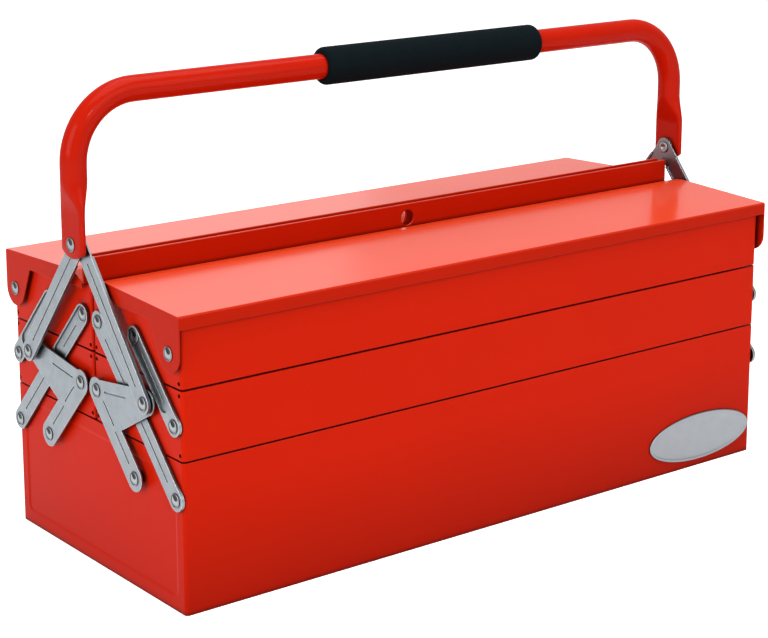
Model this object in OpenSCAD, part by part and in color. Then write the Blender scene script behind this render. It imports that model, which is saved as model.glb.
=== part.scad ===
// Five tier cantilever steel toolbox: a bottom box, two middle trays and two lidded top trays
// carried on riveted links, with a tube handle on four arms. Millimetres, +Z up, X along the
// length, -Y is the front with the name plate, the origin is under the centre of the bottom.

/* [Body] */
// Length of the bottom box and of every tray
body_l = 528; // [420:1:640]
// Depth of the closed body, front face to back face
body_w = 220; // [200:1:260]
// Height of the bottom box
base_h = 103.6; // [100:0.1:140]
// Height of a middle tray
mid_h = 46.7; // [42:0.1:54]
// Height of a top tray
top_h = 45.8; // [42:0.1:52]
// Gap between stacked trays
seam = 1.2; // [0.3:0.1:1.4]
// Gap from the centre plane to a tray
half_gap = 0.5; // [0.4:0.1:1.5]
// Sheet thickness of box, trays and lids
sheet = 1; // [0.8:0.1:1.2]
// Outside radius of the upright corners
corner_r = 2.5; // [2:0.5:5]
// Depth of the folded rim inside each open top
rim_h = 6; // [4:0.5:9]
// Extra thickness of the folded rim
rim_t = 1; // [0.6:0.1:1.6]

/* [Panel pressing] */
// Distance of the sunk field in the bottom box's ends from the panel edge
field_in = 9; // [8:0.5:14]
// Width of the slope round the sunk field
field_slope = 2.4; // [1:0.1:4]
// Depth of the sunk field
field_d = 0.5; // [0.2:0.1:0.5]
// Radius of the corner relief holes
relief_r = 1.3; // [1:0.1:1.8]
// Distance of the relief holes from the panel edges
relief_in = 3.4; // [3:0.1:5]

/* [Linkage] */
// Top pivot of the long link to the centre plane
top_in = 11; // [10:0.1:13]
// How far each link rises over one tier
link_up = 48.8; // [46:0.1:52]
// Long link pivot to the side edge of the bottom box
base_edge = 6; // [5.5:0.1:8]
// Long link pivot below the rim of the bottom box
base_drop = 25.4; // [20:0.1:32]
// Upper pivot of the knee plate to the centre plane
plate_in = 10.7; // [10:0.1:13]
// Knee plate pivot above the long link pivot
plate_up = 1.8; // [0:0.1:4]
// Lower pivot of the short link to the side edge of the middle tray
short_edge = 7; // [6.5:0.1:9]
// Half width of the long link
long_r = 7.5; // [7:0.1:8]
// Half width of the short link
short_r = 7; // [6.5:0.1:7.5]
// Half width of the knee plate's leg
leg_r = 9; // [8:0.1:9.5]
// Knee pivot outward of the plate's lower pivot
knee_out = 18; // [14:0.5:20]
// Knee pivot above the plate's lower pivot
knee_up = 56.5; // [54:0.5:58]
// Corner radius of the knee plate at the knee
knee_r = 8.5; // [8:0.1:10]
// Half width of the arm
arm_r = 7; // [6.5:0.1:8]
// Wall of the pressed links and arms
press_t = 1.1; // [0.9:0.1:1.1]
// Depth of a pressed link
link_d = 2.2; // [2:0.1:2.4]
// Gap from the end panel to a link
link_gap = 0.5; // [0.4:0.1:0.6]
// Thickness of the knee plate
plate_t = 1.2; // [1:0.1:1.4]
// Gap from a link to the knee plate that passes over it
over_gap = 1.2; // [1.1:0.1:1.5]
// Gap from the knee plate to the front arm
arm_gap = 1; // [1:0.1:1.4]
// Gap between the two arms on the handle pivot
arms_gap = 0.4; // [0.3:0.1:0.6]
// Width of the pressed groove lines
groove_w = 1.5; // [0.8:0.1:1.6]
// Depth of the pressed groove lines
groove_d = 0.5; // [0.2:0.05:0.6]

/* [Rivets] */
// Shank radius
pin_r = 2.5; // [2:0.1:3]
// Radial running clearance of a link on its rivet
run_fit = 0.05; // [0.02:0.01:0.1]
// Head radius
head_r = 4.8; // [4.4:0.1:5]
// Head thickness
head_t = 0.8; // [0.6:0.1:0.9]
// Radius of the shoulder under a link
shoulder_r = 4; // [3.5:0.1:4.4]
// Radius of the rolled tail inside a panel
tail_r = 3.3; // [3:0.1:4]
// Radius of the hollow in the rivet
hollow_r = 1.6; // [1:0.1:1.8]
// Thickness of the rolled tail inside a panel
tail_h = 1; // [0.6:0.1:1.2]
// Thickness of the rolled tail behind a knee plate
knee_tail = 0.8; // [0.5:0.1:0.8]
// Radial clearance of a rivet in the hole that it is closed in
set_fit = 0.02; // [0.01:0.01:0.05]

/* [Lids] */
// How far the lid stands past the tray all round
lid_over = 4; // [3.8:0.1:4.4]
// Height of the lid's outer edge above the top tray
lid_lift = 3.6; // [3.4:0.1:5]
// Rise of the lid from its outer edge to its crown
lid_rise = 3.5; // [1:0.1:5]
// Drop from the crown to the foot of the upright flange
lid_dip = 5.4; // [4:0.1:5.6]
// Depth of the lid's turned down edge
lid_edge = 9; // [8:0.5:11]
// Height of the upright flange above its foot
lock_up = 18.4; // [16:0.1:19]
// Thickness of the upright flange
lock_t = 1.6; // [1:0.1:2]
// Gap from the centre plane to the upright flange
lock_gap = 3.6; // [3:0.1:5]
// Radius of the padlock hole
lock_r = 6; // [4:0.1:6.5]
// Ear radius round the lid pivot
ear_r = 12.5; // [11:0.1:13]
// Height of the lid pivot above the bottom of the top tray
ear_up = 22.8; // [21:0.1:26]
// How far the ear's inner top corner lies inward of the lid pivot
ear_in = 22; // [16:0.5:26]
// Distance from the centre plane up to which the lid's end is cut shorter
relief_y = 36; // [28:0.5:44]
// How much shorter the lid's end is there
relief_up = 2.2; // [2:0.1:3]

/* [Handle] */
// Height of the handle pivot above the top trays
pivot_up = 29.5; // [27:0.1:36]
// Outside radius of the handle tube
tube_r = 9; // [8:0.1:9.1]
// Wall of the handle tube
tube_t = 1.5; // [1:0.1:2]
// Tube axis above the handle pivot
tube_up = 99.4; // [90:0.2:120]
// Bend radius of the tube axis
bend_r = 46; // [30:1:50]
// Width of the flattened tube end
flat_w = 28; // [20:0.5:28]
// Thickness of the flattened tube end
flat_t = 4.4; // [4.2:0.1:7]
// How far the tube's axis lies inward of the middle of its flattened end
flat_out = 1.5; // [0:0.1:2]
// Length of the flattened end above the pivot
flat_up = 17; // [14:0.5:22]
// Foot of the flattened end below the pivot
foot_drop = 9.5; // [8.5:0.1:11]
// Radius of the foot's blunt end
foot_r = 20; // [18:0.5:24]
// Gap from the arms to the flattened tube end
tube_gap = 0.4; // [0.3:0.1:0.6]
// Outside radius of the foam grip
grip_r = 13.6; // [12:0.1:15]
// Length of the foam grip
grip_l = 200; // [120:1:260]
// Offset of the foam grip from the middle of the tube
grip_x = 25.5; // [-60:0.5:60]
// Edge radius of the foam grip
grip_edge = 4; // [1:0.5:4]

/* [Name plate] */
// Width of the oval name plate
badge_w = 108; // [60:1:130]
// Height of the oval name plate
badge_h = 37; // [24:0.5:44]
// Thickness of the oval name plate
badge_t = 1.2; // [0.8:0.1:2]
// Width of the raised border
badge_rim = 2.6; // [1.5:0.1:4]
// Distance from the plate's centre to the right end
badge_in = 57; // [50:1:120]
// Height of the plate's centre
badge_z = 24; // [22:0.5:60]

/* [Hidden] */
$fn = 48;
front = -1;
back = 1;
left = -1;
right = 1;
eps = 0.1;
tuck = 0.004;
hl = body_l / 2;
hw = body_w / 2;
mid_z = base_h + seam;
top_z = mid_z + mid_h + seam;
deck_z = top_z + top_h;
// Pivots as [outward from the centre plane, height]; each link leans in by half of what lies
// between its bottom pivot and its top one
b_long = [hw - base_edge, base_h - base_drop];
link_in = (b_long[0] - top_in) / 2;
up = [-link_in, link_up];
b_plate = [plate_in + link_in, b_long[1] + plate_up];
m_long = b_long + up;
m_plate = b_plate + up;
m_short = [hw - short_edge, m_long[1] + 0.5];
t_long = m_long + up;
t_short = m_short + up;
knee = b_plate + [knee_out, knee_up];
lid_y = hw + lid_over;
lid_pin = [lid_y - ear_r, top_z + ear_up];
hand = [0, deck_z + pivot_up];
// Layers outward from the end panel
link_0 = link_gap;
link_1 = link_0 + link_d;
plate_0 = link_1 + over_gap;
plate_1 = plate_0 + plate_t;
armf_0 = plate_1 + arm_gap;
armf_1 = armf_0 + 2 * press_t;
armb_1 = armf_1 + arms_gap + press_t;
armb_0 = armb_1 - 2 * press_t;
tube_0 = armb_1 + tube_gap;
tube_1 = tube_0 + flat_t;
tube_d = (tube_0 + tube_1) / 2;
play = 0.05;
hole_r = pin_r + run_fit;
// Slot in the back arms: how far the handle rivet wanders along and across the arm
slot_in = 3.4;
slot_out = 2.2;
slot_side = 1.1;

function f(s, p) = [s * p[0], p[1]];
function along(p, q, t) = p + (q - p) * t / norm(q - p);

// Two discs joined by their common tangents, tucked a hair inside the discs for a clean meeting
module strap(p, q, r1, r2) {
    a = atan2(q[1] - p[1], q[0] - p[0]);
    b = acos((r1 - r2) / norm(q - p));
    c1 = r1 - tuck;
    c2 = r2 - tuck;
    translate(p) circle(r = r1);
    translate(q) circle(r = r2);
    polygon([
        p + c1 * [cos(a + b), sin(a + b)], p + c1 * [cos(a - b), sin(a - b)],
        q + c2 * [cos(a - b), sin(a - b)], q + c2 * [cos(a + b), sin(a + b)]]);
}

// Stands a drawing in the YZ plane against the left or right end, between two depths
module on_end(e, d0, d1) {
    translate([e < 0 ? -hl - d1 : hl + d0, 0, 0]) rotate([90, 0, 90])
        linear_extrude(height = d1 - d0) children();
}

// Round hole or disc through an end
module end_disc(e, p, r, d0, d1) {
    translate([e < 0 ? -hl - d1 : hl + d0, p[0], p[1]]) rotate([0, 90, 0])
        cylinder(r = r, h = d1 - d0);
}

// Turned part on an end, drawn as [radius, depth]
module end_turn(e, p, outline) {
    translate([e * hl, p[0], p[1]]) rotate([0, e * 90, 0])
        rotate_extrude() polygon(outline);
}

// Hollow rivet from tail to head
module rivet(e, p, tail, base, sh, st, r = head_r, back_r = shoulder_r, tail_t = tail_h) {
    ht = st + head_t;
    end_turn(e, p, [
        [hollow_r, tail - tail_t], [back_r, tail - tail_t], [back_r, tail], [pin_r, tail],
        [pin_r, base], [shoulder_r, base], [shoulder_r, sh], [pin_r, sh], [pin_r, st],
        [r, st], [r, ht - 0.3], [r - 0.35, ht], [r - 1, ht], [hollow_r + 0.7, ht - 0.55],
        [hollow_r, ht - 1.3]]);
}

// Rivet of a body panel that carries a link, plate or lid ear
module panel_rivet(e, s, p, lo, hi, r = head_r) {
    rivet(e, f(s, p), -sheet, 0, lo - play, hi + play, r, tail_r);
}

// Groove line in the outer face of a pressed part
module groove(e, s, p, q, face) {
    on_end(e, face - groove_d, face + eps) strap(f(s, p), f(s, q), groove_w / 2, groove_w / 2);
}

// Box with round upright corners
module rbox(x0, x1, y0, y1, z0, z1, r) {
    for (x = [x0 + r, x1 - r], y = [y0 + r, y1 - r])
        translate([x, y, z0]) cylinder(r = r, h = z1 - z0);
    translate([x0 + r, y0, z0]) cube([x1 - x0 - 2 * r, y1 - y0, z1 - z0]);
    translate([x0, y0 + r, z0]) cube([x1 - x0, y1 - y0 - 2 * r, z1 - z0]);
}

// Open sheet box with a folded rim inside the top edge
module pan(y0, y1, z0, z1) {
    difference() {
        rbox(-hl, hl, y0, y1, z0, z1, corner_r);
        rbox(-hl + sheet, hl - sheet, y0 + sheet, y1 - sheet,
            z0 + sheet, z1 - rim_h, corner_r - sheet);
        rbox(-hl + sheet + rim_t, hl - sheet - rim_t, y0 + sheet + rim_t, y1 - sheet - rim_t,
            z1 - rim_h - eps, z1 + eps, 1);
    }
}

// Sunk field in an end panel, with sloping sides and round corners
module end_field(e, y0, y1, z0, z1) {
    r = 6;
    k = field_slope / field_d;
    lip = eps * k;
    translate([e * hl, 0, 0]) rotate([90, 0, 90]) scale([1, 1, e]) {
        for (y = [y0 + r, y1 - r], z = [z0 + r, z1 - r])
            translate([y, z, -field_d]) cylinder(r1 = r - field_slope, r2 = r + lip, h = field_d + eps);
        translate([y0 + r, 0, 0]) rotate([90, 0, 90]) linear_extrude(height = y1 - y0 - 2 * r)
            slope_sides(z0, z1, lip);
        translate([0, z1 - r, 0]) rotate([90, 0, 0]) linear_extrude(height = z1 - z0 - 2 * r)
            slope_sides(y0, y1, lip);
    }
}

module slope_sides(a, b, lip) {
    polygon([[a - lip, eps], [a + field_slope, -field_d], [b - field_slope, -field_d],
        [b + lip, eps]]);
}

module rivet_holes(s, points) {
    for (e = [left, right], p = points)
        end_disc(e, f(s, p), pin_r + set_fit, -sheet - rim_t - eps, eps);
}

module bottom_box() {
    color("firebrick") difference() {
        pan(-hw, hw, 0, base_h);
        for (s = [front, back]) rivet_holes(s, [b_long, b_plate]);
        for (e = [left, right])
            end_field(e, -hw + field_in, hw - field_in, field_in, base_h - field_in);
    }
}

// Oval plate with a raised border, bare in the middle
module name_plate() {
    color("silver") translate([hl - badge_in, -hw, badge_z]) rotate([90, 0, 0]) difference() {
        oval(badge_w, badge_h, 0, badge_t);
        oval(badge_w - 2 * badge_rim, badge_h - 2 * badge_rim, badge_t - 0.4, badge_t + eps);
    }
}

// Oval from two large arcs and two end arcs
module oval(w, h, z0, z1) {
    r = h * 0.26;
    c = w / 2 - r;
    big = (c * c + (h / 2) * (h / 2) - r * r) / (h - 2 * r);
    g = big - h / 2;
    t = c * big / (big - r);
    translate([0, 0, z0]) linear_extrude(height = z1 - z0) {
        for (s = [-1, 1]) translate([s * c, 0]) circle(r = r);
        intersection() {
            translate([0, -g]) circle(r = big - tuck, $fn = 128);
            translate([0, g]) circle(r = big - tuck, $fn = 128);
            translate([-t, -h]) square([2 * t, 2 * h]);
        }
    }
}

module base_rivets() {
    color("gainsboro") for (e = [left, right], s = [front, back]) {
        panel_rivet(e, s, b_long, link_1 - press_t, link_1);
        panel_rivet(e, s, b_plate, plate_0, plate_1);
    }
}

module tray(s, z0, h, points, top_holes) {
    y0 = s < 0 ? -hw : half_gap;
    y1 = s < 0 ? -half_gap : hw;
    color("firebrick") difference() {
        pan(y0, y1, z0, z0 + h);
        rivet_holes(s, points);
        for (e = [left, right], y = [y0 + relief_in, y1 - relief_in]) {
            end_disc(e, [y, z0 + relief_in], relief_r, -sheet - eps, eps);
            if (top_holes) end_disc(e, [y, z0 + h - relief_in], relief_r, -sheet - rim_t - eps, eps);
        }
    }
}

module middle_tray_front() { tray(front, mid_z, mid_h, [m_long, m_plate, m_short], true); }
module middle_tray_back() { tray(back, mid_z, mid_h, [m_long, m_plate, m_short], true); }
module top_tray_front() { tray(front, top_z, top_h, [t_long, t_short, lid_pin], false); }
module top_tray_back() { tray(back, top_z, top_h, [t_long, t_short, lid_pin], false); }

module middle_rivets(s) {
    color("gainsboro") for (e = [left, right]) {
        panel_rivet(e, s, m_long, link_1 - press_t, link_1);
        panel_rivet(e, s, m_short, link_1 - press_t, link_1);
        panel_rivet(e, s, m_plate, plate_0, plate_1);
    }
}

module middle_rivets_front() { middle_rivets(front); }
module middle_rivets_back() { middle_rivets(back); }

// The channel of some links is open outward at the top, so their rivet heads sit inside it
module top_rivets(s) {
    deep_long = s == back;
    color("gainsboro") for (e = [left, right]) {
        panel_rivet(e, s, t_long, deep_long ? link_0 : link_1 - press_t,
            deep_long ? link_0 + press_t : link_1);
        panel_rivet(e, s, t_short, link_0, link_0 + press_t);
        panel_rivet(e, s, lid_pin, lid_over - sheet, lid_over);
    }
}

module top_rivets_front() { top_rivets(front); }
module top_rivets_back() { top_rivets(back); }

// Lid section as [outward, height], rising to a crown and dipping to the upright flange
edge_z = deck_z + lid_lift;
crown_z = edge_z + lid_rise;
foot_z = crown_z - lid_dip;
foot_y = lock_gap + lock_t;
function skin(t) = [
    [lid_y - t, edge_z - lid_edge],
    [lid_y - t, edge_z - 1.2 - t * 0.4], [lid_y - 1 - t * 0.4, edge_z - 0.1 - t],
    [26, crown_z - t], [19, crown_z - 0.5 - t], [14, crown_z - 1.8 - t],
    [foot_y + 4 + t * 0.3, crown_z - lid_dip * 0.75 - t], [foot_y + 1, foot_z - t]];

module lid_section(s) {
    outer = skin(0);
    inner = skin(sheet);
    n = len(inner);
    pts = concat(outer, [[foot_y, foot_z + 0.6], [foot_y, foot_z + lock_up - 0.4],
        [foot_y - 0.4, foot_z + lock_up], [lock_gap + 0.4, foot_z + lock_up],
        [lock_gap, foot_z + lock_up - 0.4], [lock_gap, foot_z - sheet]],
        [for (i = [0 : n - 1]) inner[n - 1 - i]]);
    polygon([for (p = pts) f(s, p)]);
}

// Turned down end of the lid with its pivot ear, which tapers to the round of the pivot
module lid_end(s) {
    strip_z = edge_z - lid_edge + 0.1;
    corner = [lid_pin[0] - ear_in, strip_z];
    d = corner - lid_pin;
    a = atan2(d[1], d[0]) + acos(ear_r / norm(d));
    top = skin(0);
    polygon([for (p = concat([[lid_y, strip_z]], [for (i = [1 : len(top) - 1]) top[i]],
        [[foot_y + 1, strip_z + relief_up], [relief_y - 4, strip_z + relief_up],
        [relief_y, strip_z]])) f(s, p)]);
    translate(f(s, lid_pin)) circle(r = ear_r);
    polygon([for (p = [lid_pin, [lid_y, lid_pin[1]], [lid_y, strip_z + 1],
        corner + [0, 1], corner, lid_pin + (ear_r - tuck) * [cos(a), sin(a)]]) f(s, p)]);
}

module lid(s) {
    color("salmon") difference() {
        union() {
            translate([-hl - lid_over, 0, 0]) rotate([90, 0, 90])
                linear_extrude(height = body_l + 2 * lid_over) lid_section(s);
            for (e = [left, right]) on_end(e, lid_over - sheet, lid_over) lid_end(s);
        }
        for (e = [left, right]) end_disc(e, f(s, lid_pin), hole_r, 0, lid_over + 1);
        translate([0, s * (lock_gap - 1), foot_z + lock_r + 2]) rotate([-s * 90, 0, 0])
            cylinder(r = lock_r, h = lock_t + 2);
    }
}

module lid_front() { lid(front); }
module lid_back() { lid(back); }

// Long link: a pressed channel with three pivots and a groove down its middle
module long_link(e, s) {
    w = long_r - press_t;
    half = norm(up);
    color("lightsteelblue") difference() {
        on_end(e, link_0, link_1) strap(f(s, b_long), f(s, t_long), long_r, long_r);
        if (s == front)
            on_end(e, link_0 - eps, link_1 - press_t) strap(f(s, b_long), f(s, t_long), w, w);
        else {
            on_end(e, link_0 - eps, link_1 - press_t)
                strap(f(s, b_long), f(s, along(b_long, t_long, half + 6)), w, w);
            on_end(e, link_0 + press_t, link_1 + eps)
                strap(f(s, along(b_long, t_long, half + 7 + 2 * w)), f(s, t_long), w, w);
        }
        for (p = [b_long, m_long, t_long])
            end_disc(e, f(s, p), hole_r, link_0 - eps, link_1 + eps);
        groove(e, s, along(b_long, m_long, 14), along(b_long, m_long, half - 10), link_1);
        if (s == front)
            groove(e, s, along(m_long, t_long, 10), along(m_long, t_long, half - 14), link_1);
        else
            groove(e, s, along(m_long, t_long, 28), along(m_long, t_long, half - 14),
                link_0 + press_t);
    }
}

module long_link_front_left() { long_link(left, front); }
module long_link_front_right() { long_link(right, front); }
module long_link_back_left() { long_link(left, back); }
module long_link_back_right() { long_link(right, back); }

// Short link: a channel open outward above a flat pad at its lower pivot
module short_link(e, s) {
    w = short_r - press_t;
    color("lightsteelblue") difference() {
        on_end(e, link_0, link_1) strap(f(s, m_short), f(s, t_short), short_r, short_r);
        on_end(e, link_0 - eps, link_1 - press_t)
            strap(f(s, m_short), f(s, along(m_short, t_short, 4)), w, w);
        on_end(e, link_0 + press_t, link_1 + eps)
            strap(f(s, along(m_short, t_short, 5 + 2 * w)), f(s, t_short), w, w);
        for (p = [m_short, t_short])
            end_disc(e, f(s, p), hole_r, link_0 - eps, link_1 + eps);
        groove(e, s, along(m_short, t_short, 18), along(t_short, m_short, 14), link_0 + press_t);
    }
}

module short_link_front_left() { short_link(left, front); }
module short_link_front_right() { short_link(right, front); }
module short_link_back_left() { short_link(left, back); }
module short_link_back_right() { short_link(right, back); }

// Knee plate: a leg along the link line with a head out to the arm pivot
module knee_plate(e, s) {
    crook = along(m_plate, b_plate, 26);
    neck_r = leg_r - 1.5;
    k_ur = (knee - m_plate) / norm(knee - m_plate);
    color("lightsteelblue") difference() {
        union() {
            on_end(e, plate_0, plate_1) strap(f(s, b_plate), f(s, m_plate), leg_r, leg_r);
            on_end(e, plate_0, plate_1) strap(f(s, m_plate), f(s, knee), neck_r, knee_r);
            on_end(e, plate_0, plate_1) strap(f(s, crook), f(s, knee), neck_r, knee_r - 0.1);
            on_end(e, plate_0, plate_1) polygon([for (p = [m_plate, knee, crook]) f(s, p)]);
        }
        for (p = [b_plate, m_plate]) end_disc(e, f(s, p), hole_r, plate_0 - eps, plate_1 + eps);
        end_disc(e, f(s, knee), pin_r + set_fit, plate_0 - eps, plate_1 + eps);
        groove(e, s, along(b_plate, m_plate, 11) + [1, 1], along(b_plate, m_plate, 34) + [1, 1],
            plate_1);
        groove(e, s, along(b_plate, m_plate, 39) + [2, 2], along(b_plate, m_plate, 57) + [2, 2],
            plate_1);
        groove(e, s, m_plate + k_ur * 11, m_plate + k_ur * 38, plate_1);
    }
}

module knee_plate_front_left() { knee_plate(left, front); }
module knee_plate_front_right() { knee_plate(right, front); }
module knee_plate_back_left() { knee_plate(left, back); }
module knee_plate_back_right() { knee_plate(right, back); }

function arm_0(s) = s == front ? armf_0 : armb_0;
function arm_1(s) = s == front ? armf_1 : armb_1;

module knee_rivets(s) {
    color("gainsboro") for (e = [left, right])
        rivet(e, f(s, knee), plate_0, plate_1, arm_1(s) - press_t - play, arm_1(s) + play,
            tail_t = knee_tail);
}

module knee_rivets_front() { knee_rivets(front); }
module knee_rivets_back() { knee_rivets(back); }

// Arm: a channel open inward, flat round the handle pivot where the two arms cross
module arm(e, s) {
    w = arm_r - press_t;
    d0 = arm_0(s);
    d1 = arm_1(s);
    bend = 16;
    reach = norm(hand - knee);
    dir = (knee - hand) / reach;
    color("lightsteelblue") difference() {
        on_end(e, d0, d1) strap(f(s, knee), f(s, hand), arm_r, arm_r + 0.6);
        on_end(e, d0 - eps, d1 - press_t) strap(f(s, knee), f(s, hand), w, w);
        end_disc(e, hand, bend, d0 - eps, d1 - press_t);
        end_disc(e, f(s, knee), hole_r, d0 - eps, d1 + eps);
        if (s == front)
            end_disc(e, hand, hole_r, d0 - eps, d1 + eps);
        else
            on_end(e, d0 - eps, d1 + eps) strap(f(s, hand - dir * slot_out),
                f(s, hand + dir * slot_in), pin_r + slot_side, pin_r + slot_side);
        groove(e, s, along(knee, hand, 13), along(knee, hand, reach - 16), d1);
    }
}

module arm_front_left() { arm(left, front); }
module arm_front_right() { arm(right, front); }
module arm_back_left() { arm(left, back); }
module arm_back_right() { arm(right, back); }

module handle_rivets() {
    color("gainsboro") for (e = [left, right])
        end_turn(e, hand, [
            [hollow_r, armf_1 - press_t - play - head_t], [head_r, armf_1 - press_t - play - head_t],
            [head_r, armf_1 - press_t - play], [pin_r, armf_1 - press_t - play],
            [pin_r, tube_1 + play], [head_r, tube_1 + play], [head_r, tube_1 + play + head_t - 0.3],
            [head_r - 0.35, tube_1 + play + head_t], [head_r - 1, tube_1 + play + head_t],
            [hollow_r + 0.7, tube_1 + play + head_t - 0.55],
            [hollow_r, tube_1 + play + head_t - 1.3]]);
}

flat_x = hl + tube_d;
leg_x = flat_x - flat_out;
bar_z = hand[1] + tube_up;
bend_z = bar_z - bend_r;
flat_z = hand[1] + flat_up;
neck_z = bend_z - 4;
vent_r = 1.2;

// Section of the crushed tube end, thin along X and wide along Y
module crushed(t, w) {
    for (y = [-1, 1]) translate([0, y * (w - t) / 2]) circle(d = t);
    square([t, w - t], center = true);
}

// Crushed end with a blunt foot, and the neck where the tube turns from flat to round
module handle_leg(e) {
    intersection() {
        translate([e * flat_x, 0, hand[1] - flat_w])
            linear_extrude(height = flat_w + flat_up) crushed(flat_t, flat_w);
        on_end(e, tube_0 - 1, tube_1 + 1)
            translate(hand + [0, foot_r - foot_drop]) circle(r = foot_r);
    }
    hull() {
        translate([e * flat_x, 0, flat_z - 2]) linear_extrude(height = 2)
            crushed(flat_t + 0.1, flat_w + 0.1, $fn = 32);
        translate([e * leg_x, 0, neck_z - 2]) cylinder(r = tube_r + 0.07, h = 2);
    }
    translate([e * leg_x, 0, neck_z - 2]) linear_extrude(height = bend_z - neck_z + 2) ring();
}

module ring() {
    difference() {
        circle(r = tube_r);
        circle(r = tube_r - tube_t);
    }
}

module handle_tube() {
    color("red") difference() {
        union() {
            for (e = [left, right]) {
                handle_leg(e);
                translate([e * (leg_x - bend_r), 0, bend_z]) rotate([90, 0, 0])
                    rotate([0, 0, e < 0 ? 90 : 0]) rotate_extrude(angle = 90)
                        translate([bend_r, 0]) ring();
            }
            translate([-leg_x + bend_r, 0, bar_z]) rotate([0, 90, 0])
                linear_extrude(height = 2 * (leg_x - bend_r)) ring();
        }
        for (e = [left, right]) {
            end_disc(e, hand, hole_r, tube_0 - 1, tube_1 + 1);
            translate([e * flat_x, 0, hand[1] - flat_w])
                cylinder(r = vent_r, h = neck_z + 1 - hand[1] + flat_w);
        }
    }
}

// Foam sleeve with rounded ends over the bar
module foam_grip() {
    r0 = tube_r + 0.05;
    n = 6;
    color("dimgray") translate([grip_x - grip_l / 2, 0, bar_z]) rotate([0, 90, 0])
        rotate_extrude() polygon(concat([[r0, 0]],
            [for (i = [0 : n]) [grip_r - grip_edge + grip_edge * sin(90 * i / n),
                grip_edge - grip_edge * cos(90 * i / n)]],
            [for (i = [0 : n]) [grip_r - grip_edge + grip_edge * cos(90 * i / n),
                grip_l - grip_edge + grip_edge * sin(90 * i / n)]],
            [[r0, grip_l]]));
}

bottom_box();
name_plate();
base_rivets();
middle_tray_front();
middle_tray_back();
middle_rivets_front();
middle_rivets_back();
top_tray_front();
top_tray_back();
top_rivets_front();
top_rivets_back();
lid_front();
lid_back();
long_link_front_left();
long_link_front_right();
long_link_back_left();
long_link_back_right();
short_link_front_left();
short_link_front_right();
short_link_back_left();
short_link_back_right();
knee_plate_front_left();
knee_plate_front_right();
knee_plate_back_left();
knee_plate_back_right();
knee_rivets_front();
knee_rivets_back();
arm_front_left();
arm_front_right();
arm_back_left();
arm_back_right();
handle_rivets();
handle_tube();
foam_grip();
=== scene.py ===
import bpy
import bmesh
import math
from collections import namedtuple
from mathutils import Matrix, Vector


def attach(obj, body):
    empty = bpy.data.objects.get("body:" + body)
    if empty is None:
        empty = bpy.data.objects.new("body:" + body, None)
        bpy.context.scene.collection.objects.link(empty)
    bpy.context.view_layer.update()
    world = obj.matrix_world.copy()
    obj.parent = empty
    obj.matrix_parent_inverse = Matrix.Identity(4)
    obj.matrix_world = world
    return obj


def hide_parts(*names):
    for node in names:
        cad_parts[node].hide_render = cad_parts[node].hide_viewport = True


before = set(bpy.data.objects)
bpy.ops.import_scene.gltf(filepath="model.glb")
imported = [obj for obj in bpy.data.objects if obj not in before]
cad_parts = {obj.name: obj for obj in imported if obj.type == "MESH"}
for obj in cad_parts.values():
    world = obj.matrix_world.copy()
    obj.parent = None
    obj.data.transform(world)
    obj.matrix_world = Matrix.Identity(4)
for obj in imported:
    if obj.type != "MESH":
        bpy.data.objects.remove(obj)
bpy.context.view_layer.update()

# Camera and studio. The camera stands to the left of the front, a little above the lids,
# with a long lens. Its shift only brings the handle into the picture.
CAMERA_AT = (-0.9224, -1.1699, 0.5507)
CAMERA_YAW = math.radians(37.706)
CAMERA_PITCH = math.radians(12.496)
FOCAL_PX = 2062.3
PICTURE_W = 768
SENSOR_MM = 36
FRAMING_SHIFT = -0.155
FLOOR_HALF = 14
FLOOR_GLOW = 0.76
WORLD_LIGHT = 0.34


def new_object(name, data):
    thing = bpy.data.objects.new(name, data)
    bpy.context.scene.collection.objects.link(thing)
    return thing


camera_data = bpy.data.cameras.new("camera")
camera_data.sensor_width = SENSOR_MM
camera_data.lens = FOCAL_PX / PICTURE_W * SENSOR_MM
camera_data.shift_y = FRAMING_SHIFT
camera_data.clip_start = 0.05
camera_data.clip_end = 100
camera = new_object("camera", camera_data)
camera.location = CAMERA_AT
camera.rotation_euler = (math.pi / 2 - CAMERA_PITCH, 0, -CAMERA_YAW)
bpy.context.scene.camera = camera
bpy.context.scene.view_settings.view_transform = "Standard"


def softbox(name, at, aim, width, height, watts):
    light = bpy.data.lights.new(name, "AREA")
    light.shape = "RECTANGLE"
    light.size = width
    light.size_y = height
    light.energy = watts
    lamp = new_object(name, light)
    lamp.location = at
    lamp.rotation_euler = (Vector(aim) - Vector(at)).to_track_quat("-Z", "Y").to_euler()


softbox("top_softbox", (0.1, -0.1, 2.2), (0, 0, 0.1), 2.4, 1.8, 47)
softbox("front_softbox", (0.5, -2.2, 1.3), (0, 0, 0.1), 1.8, 1.4, 18.5)
softbox("left_softbox", (-2.4, -0.4, 1.0), (0, 0, 0.12), 1.4, 1.4, 30)
softbox("back_softbox", (1.1, 2.6, 1.2), (-0.1, 0, 0.2), 1.4, 1.2, 3.2)
softbox("spark", (-0.64, -1.72, 1.26), (-0.25, 0, 0.3), 0.1, 0.26, 5)


def node_tree(name):
    material = bpy.data.materials.new(name)
    material.use_nodes = True
    material.node_tree.nodes.clear()
    return material, material.node_tree


def feed(tree, value, socket):
    """Links a node's output to the socket, or writes a plain value into it."""
    if isinstance(value, bpy.types.NodeSocket):
        tree.links.new(value, socket)
    else:
        socket.default_value = value


def add(tree, kind, **facts):
    """A new node with its settings and inputs, a _ standing for a space in an input's name."""
    node = tree.nodes.new(kind)
    for key, value in facts.items():
        if hasattr(node, key):
            setattr(node, key, value)
        else:
            feed(tree, value, node.inputs[key.replace("_", " ")])
    return node


def calc(tree, operation, *values):
    node = add(tree, "ShaderNodeMath", operation=operation)
    for value, socket in zip(values, node.inputs):
        feed(tree, value, socket)
    return node.outputs[0]


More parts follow.
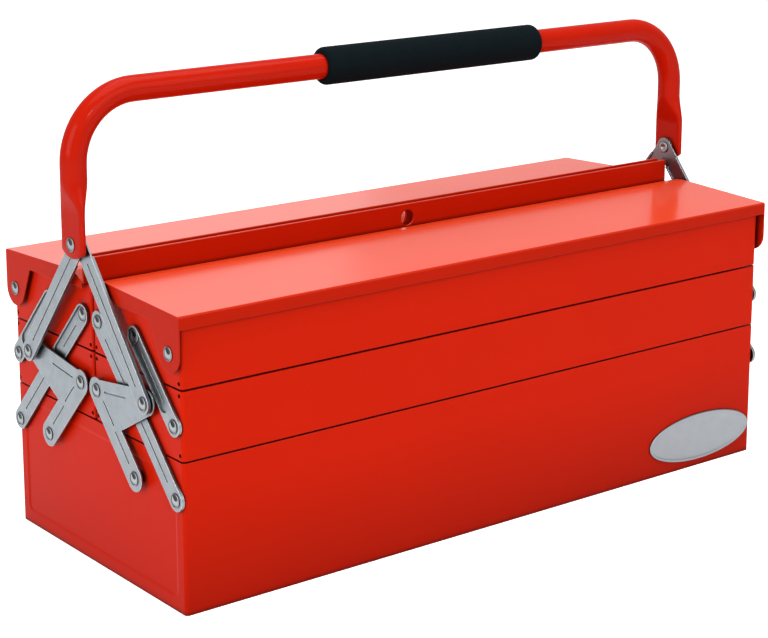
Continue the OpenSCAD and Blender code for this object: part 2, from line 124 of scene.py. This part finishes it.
def ramp(tree, value, start, end, shade_near_floor=0.0, high=1.0):
    """Takes a value from the range start to end into the range low to high, and no further."""
    node = add(tree, "ShaderNodeMapRange", Value=value, From_Min=start, From_Max=end,
               To_Min=shade_near_floor, To_Max=high)
    return node.outputs["Result"]


def white_unless_lighting(tree):
    """1 for what is seen directly, mirrored or through glass, and 0 for light on things."""
    path = add(tree, "ShaderNodeLightPath").outputs
    mirrored = calc(tree, "MAXIMUM", path["Is Camera Ray"], path["Is Glossy Ray"])
    return calc(tree, "MAXIMUM", mirrored, path["Is Transmission Ray"])


world = bpy.data.worlds.new("studio")
bpy.context.scene.world = world
world.use_nodes = True
tree = world.node_tree
tree.nodes.clear()
strength = ramp(tree, white_unless_lighting(tree), 0.0, 1.0, WORLD_LIGHT, 1.0)
backdrop = add(tree, "ShaderNodeBackground", Strength=strength)
add(tree, "ShaderNodeOutputWorld", Surface=backdrop.outputs[0])

floor_mesh = bpy.data.meshes.new("floor")
floor_mesh.from_pydata([(x * FLOOR_HALF, y * FLOOR_HALF, 0)
                        for x, y in ((-1, -1), (1, -1), (1, 1), (-1, 1))], [], [(0, 1, 2, 3)])
floor = new_object("floor", floor_mesh)
floor_paper, tree = node_tree("floor_paper")
diffuse = add(tree, "ShaderNodeBsdfDiffuse", Color=(0.8, 0.8, 0.8, 1))
glow = add(tree, "ShaderNodeEmission", Color=(1, 1, 1, 1),
           Strength=calc(tree, "MULTIPLY", white_unless_lighting(tree), FLOOR_GLOW))
mixed = add(tree, "ShaderNodeAddShader")
tree.links.new(diffuse.outputs[0], mixed.inputs[0])
tree.links.new(glow.outputs[0], mixed.inputs[1])
add(tree, "ShaderNodeOutputMaterial", Surface=mixed.outputs[0])
floor_mesh.materials.append(floor_paper)

# Bottom box: one folded sheet of 1 mm steel, spot welded at its ends and sprayed with red
# semi-gloss enamel. The enamel has a faint orange peel and thins out along the folds, which also
# carry a painted highlight. Painted shade darkens its corners, and painted shade makes it
# darker towards the floor.
FOLD_R = 0.0007
CORNER_REACH = 0.0045
CORNER_SHADE_RED = (0.05, 0.002, 0.001)
LEVEL_SHADE_RED = (0.3, 0.005, 0.002)
PAINTED_FLOOR_SHADE = (0.01, 0.0005, 0.0002)
THIN_PAINT_AND_HIGHLIGHT = (0.86, 0.1, 0.06)
SHEET_GLOSS = 0.035
PAINTED_SHADE_UP_TO = 0.085


def near_edges(tree, radius):
    """The normal rounded over the edges, and how near each spot is to an edge, 0 to 1."""
    rounded = add(tree, "ShaderNodeBevel", samples=6, Radius=radius).outputs[0]
    plain = add(tree, "ShaderNodeNewGeometry").outputs["Normal"]
    bent = add(tree, "ShaderNodeVectorMath", operation="DOT_PRODUCT")
    tree.links.new(rounded, bent.inputs[0])
    tree.links.new(plain, bent.inputs[1])
    return rounded, ramp(tree, bent.outputs["Value"], 0.995, 0.8)


def painted_corner_shade(tree, reach, clean, dirty, share):
    """How much painted shade each spot takes, 0 to share, from how closed in it is within reach
    metres.
    """
    shade = add(tree, "ShaderNodeAmbientOcclusion", samples=8, Distance=reach)
    return calc(tree, "MULTIPLY", ramp(tree, shade.outputs["AO"], clean, dirty), share)


def facing(tree, axis):
    """How far each face looks along an axis of the room, -1 to 1."""
    surface = add(tree, "ShaderNodeNewGeometry")
    return add(tree, "ShaderNodeSeparateXYZ", Vector=surface.outputs["Normal"]).outputs[axis]


def mix_colour(tree, factor, a, b):
    mix = tree.nodes.new("ShaderNodeMix")
    mix.data_type = "RGBA"
    tree.links.new(factor, mix.inputs["Factor"])
    for socket, value in ((mix.inputs[6], a), (mix.inputs[7], b)):
        feed(tree, (*value, 1) if isinstance(value, tuple) else value, socket)
    return mix.outputs[2]


def red_enamel(name, sheet_red, deep_red, shine, edge=THIN_PAINT_AND_HIGHLIGHT, edge_mix=0.3, painted_sheen=None, coat=0.0,
               painted_shade_up_to=0.0):
    """Sprayed enamel: the sheen colour is a painted sheen, a pale red painted on level faces, which
    then have a clear coat.
    """
    material, tree = node_tree(name)
    where = add(tree, "ShaderNodeTexCoord").outputs["Object"]
    cloudy = add(tree, "ShaderNodeTexNoise", Vector=where, Scale=9.0, Detail=3.0, Roughness=0.5)
    peel = add(tree, "ShaderNodeTexNoise", Vector=where, Scale=420.0, Detail=2.0, Roughness=0.5)
    rounded, edge_band = near_edges(tree, FOLD_R)
    bump = add(tree, "ShaderNodeBump", Strength=0.05, Distance=0.0006,
               Height=peel.outputs["Fac"], Normal=rounded)
    gloss = ramp(tree, cloudy.outputs["Fac"], 0.25, 0.75, 0.3, 0.36)
    paint = add(tree, "ShaderNodeBsdfPrincipled", IOR=1.5, Specular_IOR_Level=shine,
                Roughness=gloss, Normal=bump.outputs[0])
    colour = mix_colour(tree, cloudy.outputs["Fac"], deep_red, sheet_red)
    # Edges take the edge colour: on box, lids and tube thin paint with a painted highlight, on the
    # trays painted shade along the seams.
    colour = mix_colour(tree, calc(tree, "MULTIPLY", edge_band, edge_mix), colour, edge)
    # Painted shade in corners and creases, where the colour turns dark red.
    corner_shading = painted_corner_shade(tree, CORNER_REACH, 0.92, 0.45, 0.85)
    colour = mix_colour(tree, corner_shading, colour, CORNER_SHADE_RED)
    # Level faces are painted paler, a painted sheen of the light above, with painted shade in their
    # corners.
    if painted_sheen:
        level = ramp(tree, facing(tree, "Z"), 0.6, 0.95)
        colour = mix_colour(tree, level, colour, mix_colour(tree, corner_shading, painted_sheen, LEVEL_SHADE_RED))
        tree.links.new(calc(tree, "MULTIPLY", level, 0.53), paint.inputs["Coat Weight"])
        paint.inputs["Coat Roughness"].default_value = 0.16
    if coat:
        paint.inputs["Coat Weight"].default_value = coat
        paint.inputs["Coat Roughness"].default_value = 0.13
    # Painted shade darkens the paint near the floor, less on the ends.
    if painted_shade_up_to:
        height = add(tree, "ShaderNodeSeparateXYZ", Vector=where).outputs["Z"]
        shade_near_floor = ramp(tree, height, painted_shade_up_to, 0.0, 0.0, 0.31)
        less_shade_on_ends = ramp(tree, calc(tree, "ABSOLUTE", facing(tree, "Y")), 0.0, 1.0, 0.45, 1.0)
        colour = mix_colour(tree, calc(tree, "MULTIPLY", shade_near_floor, less_shade_on_ends), colour, PAINTED_FLOOR_SHADE)
    tree.links.new(colour, paint.inputs["Base Color"])
    add(tree, "ShaderNodeOutputMaterial", Surface=paint.outputs[0])
    return material


def finish_node(node, material):
    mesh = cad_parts[node].data
    mesh.materials.clear()
    mesh.materials.append(material)


box_enamel = red_enamel("box_enamel", (0.58, 0.0125, 0.0008), (0.53, 0.011, 0.0005), SHEET_GLOSS,
                        painted_shade_up_to=PAINTED_SHADE_UP_TO)
finish_node("bottom_box", box_enamel)

# Middle and top trays: pans folded like the bottom box, in pairs that part at the middle,
# with corner relief holes on their ends. They come from the same spray line, and their edges
# are painted dark as painted shade along the seams between the trays.
tray_enamel = red_enamel("tray_enamel", (0.59, 0.013, 0.0008), (0.54, 0.0115, 0.0005), SHEET_GLOSS,
                         edge=(0.06, 0.001, 0.001), edge_mix=0.85)
for tray in ("middle_tray_front", "middle_tray_back", "top_tray_front", "top_tray_back"):
    finish_node(tray, tray_enamel)

# Lids: pressed sheet with a low crown, a turned down edge with ears and an upright flange
# with a padlock hole. Hinged on the ear rivets, and clear coated on top, where the colour is
# painted paler as a painted sheen of the light above.
lid_enamel = red_enamel("lid_enamel", (0.48, 0.0115, 0.0008), (0.44, 0.01, 0.0005), SHEET_GLOSS,
                        painted_sheen=(0.68, 0.047, 0.01))
for lid in ("lid_front", "lid_back"):
    finish_node(lid, lid_enamel)

# Name plate: an oval of thin satin aluminium, glued on the front of the bottom box, with a
# raised border pressed round a bare face.
OVAL_W = 0.108
OVAL_H = 0.037
OVAL_AT = (0.207, -0.11, 0.024)
OVAL_SIDES = 96
OVAL_BORDER = (  # each loop's distance in from the outline, and its height off the box
    (0.0, 0.0), (0.0, 0.0008), (0.0002, 0.0011), (0.0006, 0.0012), (0.0016, 0.0012),
    (0.002, 0.00105), (0.0024, 0.0008), (0.0028, 0.00072), (0.008, 0.00074), (0.014, 0.00076))
METAL_EDGE_R = 0.0004
METAL_REACH = 0.004
METAL_CORNER_SHADE = (0.012, 0.011, 0.012)


def bare_metal(name, colour, dark, rough, grain, edge, spots):
    """Bare or plated metal with fine grain, dark spots up to a share, painted shade in its corners
    and a painted highlight on its edges.
    """
    material, tree = node_tree(name)
    where = add(tree, "ShaderNodeTexCoord").outputs["Object"]
    mottle = add(tree, "ShaderNodeTexNoise", Vector=where, Scale=140.0, Detail=4.0, Roughness=0.6)
    fine = add(tree, "ShaderNodeTexNoise", Vector=where, Scale=grain, Detail=2.0)
    rounded, edge_band = near_edges(tree, METAL_EDGE_R)
    bump = add(tree, "ShaderNodeBump", Strength=0.06, Distance=0.0003,
               Height=fine.outputs["Fac"], Normal=rounded)
    gloss = ramp(tree, mottle.outputs["Fac"], 0.3, 0.7, rough * 0.9, rough * 1.2)
    blotch = ramp(tree, mottle.outputs["Fac"], 0.42, 0.68, 0.0, spots)
    # Edges painted light: a painted highlight.
    with_edge_highlight = mix_colour(tree, edge_band, mix_colour(tree, blotch, colour, dark), edge)
    # Painted shade in corners and grooves.
    corner_shading = painted_corner_shade(tree, METAL_REACH, 0.9, 0.45, 0.9)
    metal = add(tree, "ShaderNodeBsdfPrincipled", Metallic=1.0, Roughness=gloss,
                Base_Color=mix_colour(tree, corner_shading, with_edge_highlight, METAL_CORNER_SHADE), Normal=bump.outputs[0])
    add(tree, "ShaderNodeOutputMaterial", Surface=metal.outputs[0])
    return material


def bridge(b, one, two):
    """A band of faces between two closed loops with the same number of points."""
    for k in range(len(one)):
        after = (k + 1) % len(one)
        b.faces.new((one[k], one[after], two[after], two[k]))


# The plate's edge colour is a painted highlight.
plate_satin = bare_metal("plate_satin", (0.25, 0.268, 0.285), (0.225, 0.24, 0.255), 0.36, 900.0,
                         (0.8, 0.8, 0.82), spots=0.2)
oval_mesh = bpy.data.meshes.new("oval_plate")
b = bmesh.new()
around = [2 * math.pi * k / OVAL_SIDES for k in range(OVAL_SIDES)]
loops = [[b.verts.new((OVAL_AT[0] + (OVAL_W / 2 - inset) * math.cos(a), OVAL_AT[1] - height,
                       OVAL_AT[2] + (OVAL_H / 2 - inset) * math.sin(a))) for a in around]
         for inset, height in OVAL_BORDER]
for one, two in zip(loops, loops[1:]):
    bridge(b, one, two)
b.faces.new(loops[0])
b.faces.new(loops[-1])
bmesh.ops.recalc_face_normals(b, faces=b.faces)
for face in b.faces:
    face.smooth = len(face.verts) == 4
b.to_mesh(oval_mesh)
b.free()
oval_plate = new_object("oval_plate", oval_mesh)
oval_mesh.materials.append(plate_satin)
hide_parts("name_plate")
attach(oval_plate, "base")

# Links, knee plates and arms: pressed from zinc plated strip, with groove lines down their
# faces. Their grooves and corners carry painted shade, and their edges a painted highlight.
link_zinc = bare_metal("link_zinc", (0.226, 0.252, 0.272), (0.174, 0.194, 0.21), 0.34, 700.0,
                       (0.75, 0.78, 0.8), spots=0.3)
for half in ("front", "back"):
    for end in ("left", "right"):
        for piece in ("long_link", "short_link", "knee_plate", "arm"):
            finish_node(f"{piece}_{half}_{end}", link_zinc)

# Rivets: eyelets of bright steel, each a dished head, a shank, a shoulder that spaces the
# link off the panel and a rolled tail inside. The top of the dish, a ring inside the rim and
# the foot of the head are darkened with painted shade.
END_X = 0.264
THINNEST_SHOULDER = 0.0003
DISH_RIM_R = 0.0041
DISH_SHADE_AT = (0.0021, 0.0, 0.0)
DISH_SHADE_FROM = 0.0029
DISH_SHADE_FULL = 0.0024
# outward from the centre plane, height, and then shoulder top, head seat and tail off the panel
Pivot = namedtuple("Pivot", "out up shoulder seat tail tail_radius")
PIVOTS = {
    "base_long": Pivot(0.104, 0.0782, 0.00155, 0.00275, -0.001, 0.0033),
    "base_plate": Pivot(0.0572, 0.08, 0.00385, 0.00515, -0.001, 0.0033),
    "middle_long": Pivot(0.0575, 0.127, 0.00155, 0.00275, -0.001, 0.0033),
    "middle_short": Pivot(0.103, 0.1275, 0.00155, 0.00275, -0.001, 0.0033),
    "middle_plate": Pivot(0.0107, 0.1288, 0.00385, 0.00515, -0.001, 0.0033),
    "top_long_front": Pivot(0.011, 0.1758, 0.00155, 0.00275, -0.001, 0.0033),
    "top_long_back": Pivot(0.011, 0.1758, 0.00045, 0.00165, -0.001, 0.0033),
    "top_short": Pivot(0.0565, 0.1763, 0.00045, 0.00165, -0.001, 0.0033),
    "lid_ear": Pivot(0.1015, 0.1755, 0.00295, 0.00405, -0.001, 0.0033),
    "knee_front": Pivot(0.0752, 0.1365, 0.00715, 0.00835, 0.0039, 0.004),
    "knee_back": Pivot(0.0752, 0.1365, 0.00865, 0.00985, 0.0039, 0.004),
    "handle": Pivot(0.0, 0.228, 0.0071, 0.01465, 0.0072, 0.0044),
}


def chain(tree, *nodes):
    """Links each node's first output to the next one's first input."""
    for one, two in zip(nodes, nodes[1:]):
        tree.links.new(one.outputs[0], two.inputs[0])


def lathe(tree, outline, inputs, turns):
    """A turned part from its outline: for each point its radius and its height, both given
    as an input's name or none and what is added to it."""
    line = add(tree, "GeometryNodeMeshLine", Count=len(outline))
    wire = add(tree, "GeometryNodeMeshToCurve")
    pick = add(tree, "GeometryNodeIndexSwitch", data_type="VECTOR",
               Index=add(tree, "GeometryNodeInputIndex").outputs[0])
    while len(pick.index_switch_items) < len(outline):
        pick.index_switch_items.new()
    for k, point in enumerate(outline):
        spot = add(tree, "ShaderNodeCombineXYZ")
        for socket, (name, offset), sign in zip(spot.inputs, point, (1, -1)):
            if name:
                shift = calc(tree, "MULTIPLY_ADD", inputs[name], sign, sign * offset)
                tree.links.new(shift, socket)
            else:
                socket.default_value = sign * offset
        tree.links.new(spot.outputs[0], pick.inputs[k + 1])
    place = add(tree, "GeometryNodeSetPosition", Position=pick.outputs[0])
    circle = add(tree, "GeometryNodeCurvePrimitiveCircle", Resolution=turns, Radius=1e-6)
    upright = add(tree, "GeometryNodeSetCurveNormal", mode="Z_UP")
    sweep = add(tree, "GeometryNodeCurveToMesh")
    weld = add(tree, "GeometryNodeMergeByDistance", Distance=4e-6)
    chain(tree, line, wire, place)
    chain(tree, circle, upright, sweep, weld)
    tree.links.new(place.outputs[0], sweep.inputs["Profile Curve"])
    return weld.outputs[0]


def new_tree(name, sizes):
    """A tree with a named input for each size, and the outputs of its input node."""
    tree = bpy.data.node_groups.new(name, "GeometryNodeTree")
    tree.interface.new_socket("Geometry", in_out="INPUT", socket_type="NodeSocketGeometry")
    tree.interface.new_socket("Geometry", in_out="OUTPUT", socket_type="NodeSocketGeometry")
    for size, value in sizes.items():
        socket = tree.interface.new_socket(size, in_out="INPUT", socket_type="NodeSocketFloat")
        socket.default_value = value
    return tree, tree.nodes.new("NodeGroupInput").outputs


def named(tree, name, kind="FLOAT"):
    node = add(tree, "GeometryNodeInputNamedAttribute", data_type=kind, Name=name)
    return node.outputs["Attribute"]


eyelet_sizes = {"head radius": 0.0048, "head height": 0.0007, "dish radius": 0.0044,
                "shank radius": 0.0025, "shoulder radius": 0.004, "tail height": 0.001}
eyelets, size = new_tree("eyelets", eyelet_sizes)
head = lathe(eyelets, [
    ((None, 0.0), ("head height", -0.00064)),
    (("dish radius", -0.0019), ("head height", -0.00062)),
    (("dish radius", -0.0011), ("head height", -0.00048)),
    (("dish radius", -0.0005), ("head height", -0.00024)),
    (("dish radius", -0.0002), ("head height", -0.00008)),
    (("dish radius", 0.0), ("head height", -0.00002)),
    (("head radius", -0.0002), ("head height", 0.0)),
    (("head radius", -0.00005), ("head height", -0.0001)),
    (("head radius", 0.0), ("head height", -0.0003)),
    (("head radius", 0.0), (None, 0.0)), (("shank radius", 0.0), (None, 0.0))], size, 40)
marked_head = add(eyelets, "GeometryNodeStoreNamedAttribute", data_type="FLOAT_VECTOR",
                  domain="POINT", Geometry=head, Name="dish",
                  Value=add(eyelets, "GeometryNodeInputPosition").outputs[0])
tail = lathe(eyelets, [
    (("shank radius", 0.0), (None, 0.0)), (("shoulder radius", -0.0002), (None, 0.0)),
    (("shoulder radius", 0.0), (None, -0.0002)),
    (("shoulder radius", 0.0), ("tail height", -0.0018)),
    (("shoulder radius", -0.0003), ("tail height", -0.002)),
    (("shank radius", -0.0004), ("tail height", -0.002)),
    (("shank radius", -0.0009), (None, -0.0004)), ((None, 0.0), (None, -0.0003))], size, 24)
shank = lathe(eyelets, [
    (("shank radius", 0.0), (None, 1.0)), (("shank radius", 0.0), (None, 0.0))], size, 24)
shoulder = lathe(eyelets, [
    (("shank radius", 0.0), (None, 1.0)), (("shoulder radius", 0.0), (None, 1.0)),
    (("shoulder radius", 0.0), (None, 0.0)), (("shank radius", 0.0), (None, 0.0))], size, 24)
outward = named(eyelets, "outward", "FLOAT_VECTOR")
turn = add(eyelets, "FunctionNodeAxesToRotation", primary_axis="Z", secondary_axis="X",
           Primary_Axis=outward, Secondary_Axis=(0, 0, 1))
joined = add(eyelets, "GeometryNodeJoinGeometry")


def stand(part, along, length=None, wide=None):
    """Stands a copy of a turned part on each point, moved outward and stretched by attributes."""
    offset = add(eyelets, "ShaderNodeVectorMath", operation="SCALE", Scale=named(eyelets, along))
    eyelets.links.new(outward, offset.inputs[0])
    move = add(eyelets, "GeometryNodeSetPosition", Geometry=size["Geometry"],
               Offset=offset.outputs[0])
    stretch = add(eyelets, "ShaderNodeCombineXYZ", X=1.0, Y=1.0, Z=1.0)
    for axis, fact in (("X", wide), ("Y", wide), ("Z", length)):
        if fact:
            eyelets.links.new(named(eyelets, fact), stretch.inputs[axis])
    copies = add(eyelets, "GeometryNodeInstanceOnPoints", Points=move.outputs[0], Instance=part,
                 Rotation=turn.outputs[0], Scale=stretch.outputs[0])
    eyelets.links.new(copies.outputs[0], joined.inputs[0])


stand(marked_head.outputs[0], "seat")
stand(tail, "tail", wide="tail_wide")
stand(shank, "tail", length="grip")
stand(shoulder, "shoulder_from", length="shoulder_length")

rivet_bright, tree = node_tree("rivet_bright")
where = add(tree, "ShaderNodeTexCoord").outputs["Object"]
mottle = add(tree, "ShaderNodeTexNoise", Vector=where, Scale=220.0, Detail=4.0,
             Roughness=0.6).outputs["Fac"]
bump = add(tree, "ShaderNodeBump", Strength=0.08, Distance=0.0003, Height=mottle)
dish = add(tree, "ShaderNodeAttribute", attribute_name="dish").outputs["Vector"]
from_dish_shade = add(tree, "ShaderNodeVectorMath", operation="DISTANCE")
tree.links.new(dish, from_dish_shade.inputs[0])
from_dish_shade.inputs[1].default_value = DISH_SHADE_AT
from_middle = add(tree, "ShaderNodeVectorMath", operation="LENGTH")
tree.links.new(dish, from_middle.inputs[0])
off_rim = calc(tree, "ABSOLUTE",
               calc(tree, "SUBTRACT", from_middle.outputs["Value"], DISH_RIM_R))
# A dark ring just inside the rim: painted shade.
ring = ramp(tree, off_rim, 0.00055, 0.0002, 0.0, 0.8)
on_head = calc(tree, "GREATER_THAN", from_middle.outputs["Value"], 0.00001)
# A dark blob at the top of the dish: painted shade.
painted_dish_shade = calc(tree, "MULTIPLY", on_head, ramp(tree, from_dish_shade.outputs["Value"], DISH_SHADE_FROM, DISH_SHADE_FULL))
colour = mix_colour(tree, mottle, (0.25, 0.27, 0.285), (0.36, 0.38, 0.395))
# Painted shade at the foot of the head.
colour = mix_colour(tree, painted_corner_shade(tree, 0.0016, 0.92, 0.5, 0.97), colour, METAL_CORNER_SHADE)
colour = mix_colour(tree, ring, colour, (0.02, 0.02, 0.022))
colour = mix_colour(tree, painted_dish_shade, colour, (0.003, 0.003, 0.004))
metal = add(tree, "ShaderNodeBsdfPrincipled", Metallic=1.0, Base_Color=colour,
            Roughness=ramp(tree, mottle, 0.3, 0.7, 0.28, 0.4), Normal=bump.outputs[0])
add(tree, "ShaderNodeOutputMaterial", Surface=metal.outputs[0])

chain(eyelets, joined, add(eyelets, "GeometryNodeRealizeInstances"),
      add(eyelets, "GeometryNodeSetShadeSmooth"),
      add(eyelets, "GeometryNodeSetMaterial", Material=rivet_bright),
      eyelets.nodes.new("NodeGroupOutput"))


def grow(name, points, tree, sizes):
    """Runs a node tree on a mesh and returns the plain mesh object that it makes."""
    thing = new_object(name, points)
    modifier = thing.modifiers.new("build", "NODES")
    modifier.node_group = tree
    for item in tree.interface.items_tree:
        if item.in_out == "INPUT" and item.name in sizes:
            modifier[item.identifier] = sizes[item.name]
    ready = thing.evaluated_get(bpy.context.evaluated_depsgraph_get())
    made = bpy.data.meshes.new_from_object(ready)
    thing.modifiers.remove(modifier)
    thing.data = made
    made.name = name
    return thing


def rivet_group(name, node, body, pivots):
    """One piece of all rivets fixed in a body, on both ends of the box."""
    spots = [(end, half, PIVOTS[pivot]) for pivot, halves in pivots
             for half in halves for end in (-1, 1)]
    mesh = bpy.data.meshes.new(name + "_points")
    mesh.from_pydata([(end * END_X, half * p.out, p.up) for end, half, p in spots], [], [])
    facts = {"seat": lambda p: p.seat, "tail": lambda p: p.tail, "grip": lambda p: p.seat - p.tail,
             "tail_wide": lambda p: p.tail_radius / eyelet_sizes["shoulder radius"],
             "shoulder_from": lambda p: min(max(0.0, p.tail), p.shoulder - THINNEST_SHOULDER),
             "shoulder_length": lambda p: max(p.shoulder - max(0.0, p.tail), THINNEST_SHOULDER)}
    for fact, rule in facts.items():
        mesh.attributes.new(fact, "FLOAT", "POINT").data.foreach_set(
            "value", [rule(p) for end, half, p in spots])
    mesh.attributes.new("outward", "FLOAT_VECTOR", "POINT").data.foreach_set(
        "vector", [c for end, half, p in spots for c in (end, 0, 0)])
    piece = grow(name, mesh, eyelets, eyelet_sizes)
    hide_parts(node)
    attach(piece, body)


rivet_group("bottom_box_eyelets", "base_rivets", "base",
            [("base_long", (-1, 1)), ("base_plate", (-1, 1))])
for half, side in (("front", -1), ("back", 1)):
    rivet_group(f"middle_tray_{half}_eyelets", f"middle_rivets_{half}", f"{half}_middle_tray",
                [("middle_long", (side,)), ("middle_short", (side,)), ("middle_plate", (side,))])
    rivet_group(f"top_tray_{half}_eyelets", f"top_rivets_{half}", f"{half}_top_tray",
                [(f"top_long_{half}", (side,)), ("top_short", (side,)), ("lid_ear", (side,))])
    rivet_group(f"knee_{half}_eyelets", f"knee_rivets_{half}", f"{half}_knee_plates",
                [(f"knee_{half}", (side,))])
rivet_group("handle_eyelets", "handle_rivets", "handle_pins", [("handle", (1,))])

# Handle: one steel tube of 18 mm, bent twice and crushed flat at its ends, where a slit is
# left between the two walls. Painted like the box, with a thin clear coat.
TUBE_R = 0.009
LEG_X = 0.2749
FLAT_X = 0.2764
FLAT_T = 0.0044
FLAT_W = 0.028
FLAT_TOP = 0.2485
HAND_Z = 0.228
ROUND_FROM = 0.272
NECK_STEPS = 14
BEND_R = 0.046
BEND_STEPS = 16
BAR_Z = 0.3274
FOOT_DROP = 0.0095
FOOT_R = 0.02
FOOT_RIM = ((0.0012, 0.0), (0.0004, 0.00005), (0.0, 0.0006))  # inset and lift of each ring
SLIT_DEEP = 0.006
AROUND = 48


def section(thick, wide):
    """Points round the tube as (across the end, along the end): two straights, two half rounds."""
    points = []
    straight = wide - thick
    half_round = math.pi * thick / 2
    for k in range(AROUND):
        lap = k / AROUND * 2 * (straight + half_round)
        side = 1
        if lap >= straight + half_round:
            lap -= straight + half_round
            side = -1
        if lap < straight:
            points.append((side * thick / 2, side * (lap - straight / 2)))
        else:
            turned = (lap - straight) / (thick / 2)
            points.append((side * thick / 2 * math.cos(turned),
                           side * (straight / 2 + thick / 2 * math.sin(turned))))
    return points


def foot_z(y):
    """The rounded lower edge of the flat end."""
    return HAND_Z + FOOT_R - FOOT_DROP - math.sqrt(FOOT_R ** 2 - y ** 2)


tube_mesh = bpy.data.meshes.new("painted_tube")
b = bmesh.new()
rings = []
for end in (-1, 1):
    side = []
    for inset, lift in FOOT_RIM:
        side.append([(end * (FLAT_X + x), y, foot_z(y) + lift)
                     for x, y in section(FLAT_T - 2 * inset, FLAT_W - 2 * inset)])
    rim_lift = FOOT_RIM[-1][1]
    for share in (0.25, 0.6, 1.0):
        side.append([(end * (FLAT_X + x), y,
                      foot_z(y) + rim_lift + (FLAT_TOP - foot_z(y) - rim_lift) * share)
                     for x, y in section(FLAT_T, FLAT_W)])
    for k in range(1, NECK_STEPS + 1):
        t = k / NECK_STEPS
        ease = t * t * (3 - 2 * t)
        neck = section(FLAT_T + (2 * TUBE_R - FLAT_T) * ease, FLAT_W + (2 * TUBE_R - FLAT_W) * ease)
        side.append([(end * (FLAT_X + (LEG_X - FLAT_X) * ease + x), y,
                      FLAT_TOP + (ROUND_FROM - FLAT_TOP) * t) for x, y in neck])
    for k in range(BEND_STEPS + 1):
        a = math.pi / 2 * k / BEND_STEPS
        side.append([(end * (LEG_X - BEND_R + (BEND_R + x) * math.cos(a)), y,
                      BAR_Z - BEND_R + (BEND_R + x) * math.sin(a))
                     for x, y in section(2 * TUBE_R, 2 * TUBE_R)])
    rings += side if end < 0 else side[::-1]
loops = [[b.verts.new(p) for p in ring] for ring in rings]
for one, two in zip(loops, loops[1:]):
    bridge(b, one, two)
for rim, end in ((loops[0], -1), (loops[-1], 1)):
    mouth = [b.verts.new((end * FLAT_X + (v.co.x - end * FLAT_X) * 0.2, v.co.y * 0.9,
                          v.co.z + 0.0002)) for v in rim]
    slit = [b.verts.new((v.co.x, v.co.y, v.co.z + SLIT_DEEP)) for v in mouth]
    for one, two in ((rim, mouth), (mouth, slit)):
        for k in range(AROUND):
            after = (k + 1) % AROUND
            b.faces.new((one[k], two[k], two[after], one[after]))
    b.faces.new(slit)
bmesh.ops.recalc_face_normals(b, faces=b.faces)
for face in b.faces:
    face.smooth = True
b.to_mesh(tube_mesh)
b.free()
painted_tube = new_object("painted_tube", tube_mesh)
tube_enamel = red_enamel("tube_enamel", (0.49, 0.0105, 0.001), (0.42, 0.0085, 0.001), 0.01,
                         coat=0.1)
tube_mesh.materials.append(tube_enamel)
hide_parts("handle_tube")
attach(painted_tube, "handle")

# Foam grip: a sleeve of black closed cell foam pushed onto the tube, a little off its middle,
# with rounded ends and a thin lip round its bore.
GRIP_X = 0.0255
END_ROUND = 0.004
ROUND_STEPS = 6
grip_sizes = {"length": 0.2, "radius": 0.0136, "bore": 0.00905}
sleeve, size = new_tree("foam_sleeve", grip_sizes)
parts = {"half": calc(sleeve, "MULTIPLY", size["length"], 0.5), "radius": size["radius"],
         "bore": size["bore"]}
outline = [(("radius", 0.0), (None, 0.0))]
for k in range(ROUND_STEPS + 1):
    a = math.pi / 2 * k / ROUND_STEPS
    outline.append((("radius", END_ROUND * (math.cos(a) - 1)),
                    ("half", END_ROUND * (math.sin(a) - 1))))
outline += [(("bore", 0.0007), ("half", 0.0)), (("bore", 0.0001), ("half", -0.0006)),
            (("bore", 0.0), ("half", -0.0012))]
half_sleeve = lathe(sleeve, outline, parts, 64)
both = add(sleeve, "GeometryNodeJoinGeometry")
for way in (1, -1):
    turned = add(sleeve, "GeometryNodeTransform", Geometry=half_sleeve,
                 Rotation=(0, way * math.pi / 2, 0))
    sleeve.links.new(turned.outputs[0], both.inputs[0])

foam_black, tree = node_tree("foam_black")
where = add(tree, "ShaderNodeTexCoord").outputs["Object"]
cells = add(tree, "ShaderNodeTexVoronoi", Vector=where, Scale=1100.0)
soft = add(tree, "ShaderNodeTexNoise", Vector=where, Scale=60.0, Detail=5.0).outputs["Fac"]
bump = add(tree, "ShaderNodeBump", Strength=0.4, Distance=0.0004, Height=cells.outputs["Distance"])
foam = add(tree, "ShaderNodeBsdfPrincipled", IOR=1.4, Specular_IOR_Level=0.03,
           Base_Color=mix_colour(tree, soft, (0.0025, 0.005, 0.0065), (0.006, 0.0095, 0.0115)),
           Roughness=ramp(tree, soft, 0.3, 0.7, 0.72, 0.9), Normal=bump.outputs[0])
add(tree, "ShaderNodeOutputMaterial", Surface=foam.outputs[0])

chain(sleeve, both, add(sleeve, "GeometryNodeMergeByDistance", Distance=1e-5),
      add(sleeve, "GeometryNodeTransform", Translation=(GRIP_X, 0, BAR_Z)),
      add(sleeve, "GeometryNodeSetShadeSmooth"), add(sleeve, "GeometryNodeRealizeInstances"),
      add(sleeve, "GeometryNodeSetMaterial", Material=foam_black),
      sleeve.nodes.new("NodeGroupOutput"))
foam_sleeve = grow("foam_sleeve", bpy.data.meshes.new("sleeve_start"), sleeve, grip_sizes)
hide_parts("foam_grip")
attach(foam_sleeve, "handle")
